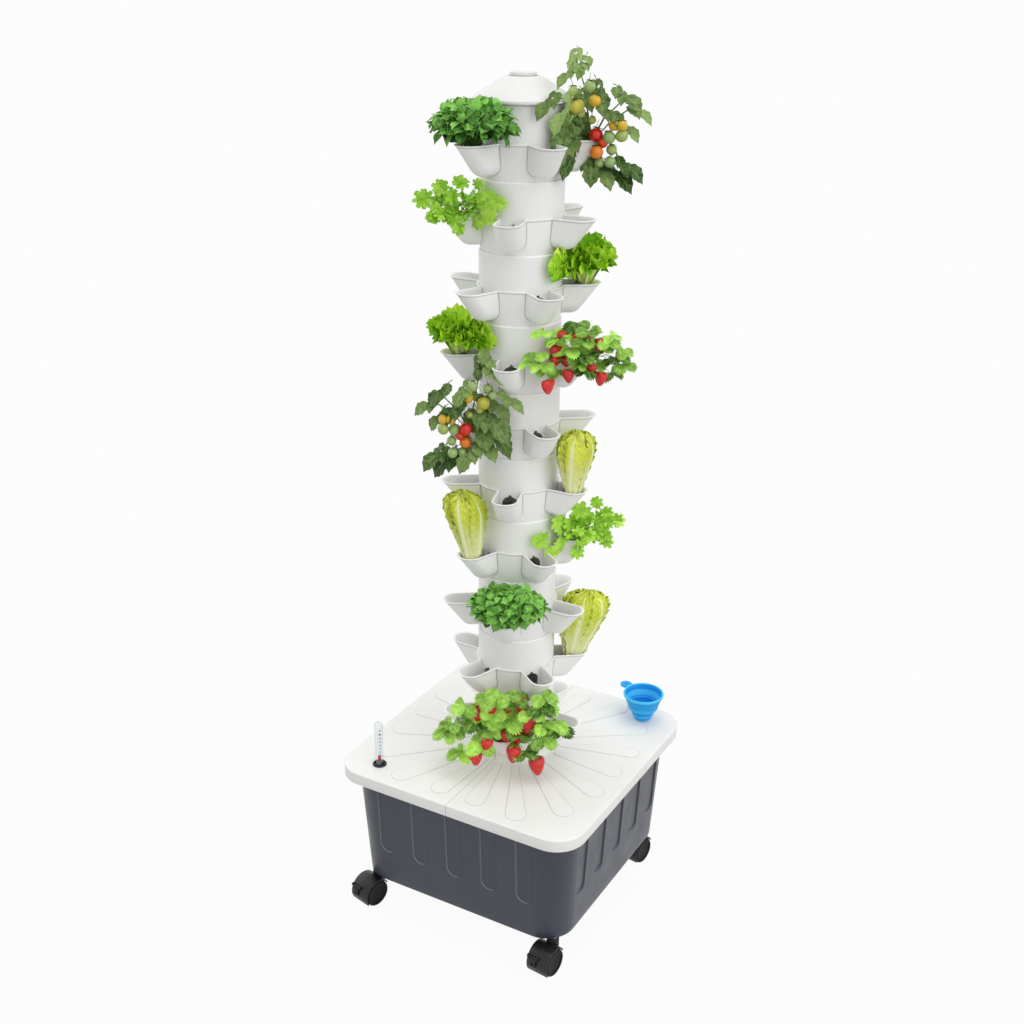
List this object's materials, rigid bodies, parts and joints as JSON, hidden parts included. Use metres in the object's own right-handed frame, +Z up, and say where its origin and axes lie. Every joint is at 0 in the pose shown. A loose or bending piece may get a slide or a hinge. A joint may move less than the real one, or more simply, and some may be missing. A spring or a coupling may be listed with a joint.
{
  "type": "hydroponic tower",
  "caption": "Free-standing hydroponic growing tower: wheeled water tank, split lid, stacked rings of planting pods on a column, domed cap, level gauge and filling funnel.",
  "frame": {"origin": "on the floor, under the tower's axis", "axes": "+Z up along the tower; X across the lid's seam, Y along it, with the level gauge at -X -Y"},
  "size_m": [0.48, 0.48, 1.5114],
  "materials": {
    "tower_white": "satin",
    "lid_white": "satin",
    "tank_grey": "satin",
    "pipe_grey": "satin",
    "pump_black": "satin",
    "steel": "satin",
    "foot_rubber": "matte",
    "clear_tube": "gloss",
    "guide_grey": "satin",
    "gauge_red": "gloss",
    "float_white": "matte",
    "funnel_blue": "satin",
    "caster_black": "satin",
    "wheel_black": "satin",
    "cup_black": "matte",
    "leaf_dark": "matte",
    "leaf_grey": "matte",
    "leaf_light": "matte",
    "leaf_bright": "matte",
    "leaf_yellow": "matte",
    "leaf_mid": "matte"
  },
  "bodies": {
    "tower": {"pod_ring_01": "tower_white", "pod_ring_02": "tower_white", "pod_ring_03": "tower_white", "pod_ring_04": "tower_white", "pod_ring_05": "tower_white", "pod_ring_06": "tower_white", "pod_ring_07": "tower_white", "pod_ring_08": "tower_white", "pod_ring_09": "tower_white", "pod_ring_10": "tower_white", "tube_01": "tower_white", "tube_02": "tower_white", "tube_03": "tower_white", "tube_04": "tower_white", "tube_05": "tower_white", "tube_06": "tower_white", "tube_07": "tower_white", "tube_08": "tower_white", "tube_09": "tower_white", "tube_10": "tower_white", "lid_left": "lid_white", "lid_right": "lid_white", "tank": "tank_grey", "distributor": "tower_white", "riser_pipe": "pipe_grey", "riser_coupling": "pipe_grey", "pump_body": "pump_black", "pump_cover": "pump_black", "pump_shaft": "steel", "pump_feet": "foot_rubber", "gauge_tube": "clear_tube", "gauge_grommet": "foot_rubber", "gauge_guide": "guide_grey", "caster_stems": "steel", "net_cups": "cup_black", "herb_plants": "leaf_dark", "tomato_plants": "leaf_grey", "coriander_plants": "leaf_light", "lettuce_plants": "leaf_bright", "romaine_plants": "leaf_yellow", "strawberry_plants": "leaf_mid"},
    "cap": {"top_cap": "tower_white"},
    "funnel": {"funnel": "funnel_blue"},
    "float": {"gauge_rod": "gauge_red", "gauge_float": "float_white"},
    "impeller": {"pump_impeller": "pump_black"},
    "caster_front": {"caster_hood_front": "caster_black", "caster_axle_front": "steel"},
    "wheels_front": {"caster_wheels_front": "wheel_black"},
    "brake_front": {"brake_lever_front": "caster_black"},
    "caster_left": {"caster_hood_left": "caster_black", "caster_axle_left": "steel"},
    "wheels_left": {"caster_wheels_left": "wheel_black"},
    "brake_left": {"brake_lever_left": "caster_black"},
    "caster_right": {"caster_hood_right": "caster_black", "caster_axle_right": "steel"},
    "wheels_right": {"caster_wheels_right": "wheel_black"},
    "caster_rear": {"caster_hood_rear": "caster_black", "caster_axle_rear": "steel"},
    "wheels_rear": {"caster_wheels_rear": "wheel_black"}
  },
  "joints": [
    {"name": "cap_lift", "type": "slide", "parent": "tower", "child": "cap", "axis": [0, 0, 1], "range_m": [0, 0.06]},
    {"name": "funnel_lift", "type": "slide", "parent": "tower", "child": "funnel", "axis": [0, 0, 1], "range_m": [0, 0.12]},
    {"name": "float_rise", "type": "slide", "parent": "tower", "child": "float", "axis": [0, 0, 1], "range_m": [0, 0.068]},
    {"name": "impeller_spin", "type": "hinge", "parent": "tower", "child": "impeller", "pos_m": [0, 0, 0.095], "axis": [0, -1, 0], "continuous": true},
    {"name": "caster_front_swivel", "type": "hinge", "parent": "tower", "child": "caster_front", "pos_m": [0.185, -0.185, 0.05], "axis": [0, 0, 1], "continuous": true},
    {"name": "wheels_front_roll", "type": "hinge", "parent": "caster_front", "child": "wheels_front", "pos_m": [0.1827, -0.20688, 0.025], "axis": [0.9945, -0.1045, 0], "continuous": true},
    {"name": "brake_front_tip", "type": "hinge", "parent": "caster_front", "child": "brake_front", "pos_m": [0.18001, -0.23244, 0.04106], "axis": [-0.9945, 0.1045, 0], "range_deg": [0, 25]},
    {"name": "caster_left_swivel", "type": "hinge", "parent": "tower", "child": "caster_left", "pos_m": [-0.185, -0.185, 0.05], "axis": [0, 0, 1], "continuous": true},
    {"name": "wheels_left_roll", "type": "hinge", "parent": "caster_left", "child": "wheels_left", "pos_m": [-0.18995, -0.20644, 0.025], "axis": [0.9744, -0.225, 0], "continuous": true},
    {"name": "brake_left_tip", "type": "hinge", "parent": "caster_left", "child": "brake_left", "pos_m": [-0.19573, -0.23147, 0.04106], "axis": [-0.9744, 0.225, 0], "range_deg": [0, 25]},
    {"name": "caster_right_swivel", "type": "hinge", "parent": "tower", "child": "caster_right", "pos_m": [0.185, 0.185, 0.05], "axis": [0, 0, 1], "continuous": true},
    {"name": "wheels_right_roll", "type": "hinge", "parent": "caster_right", "child": "wheels_right", "pos_m": [0.18156, 0.16327, 0.025], "axis": [0.9877, -0.1564, 0], "continuous": true},
    {"name": "caster_rear_swivel", "type": "hinge", "parent": "tower", "child": "caster_rear", "pos_m": [-0.185, 0.185, 0.05], "axis": [0, 0, 1], "continuous": true},
    {"name": "wheels_rear_roll", "type": "hinge", "parent": "caster_rear", "child": "wheels_rear", "pos_m": [-0.19252, 0.16433, 0.025], "axis": [0.9397, -0.342, 0], "continuous": true}
  ]
}
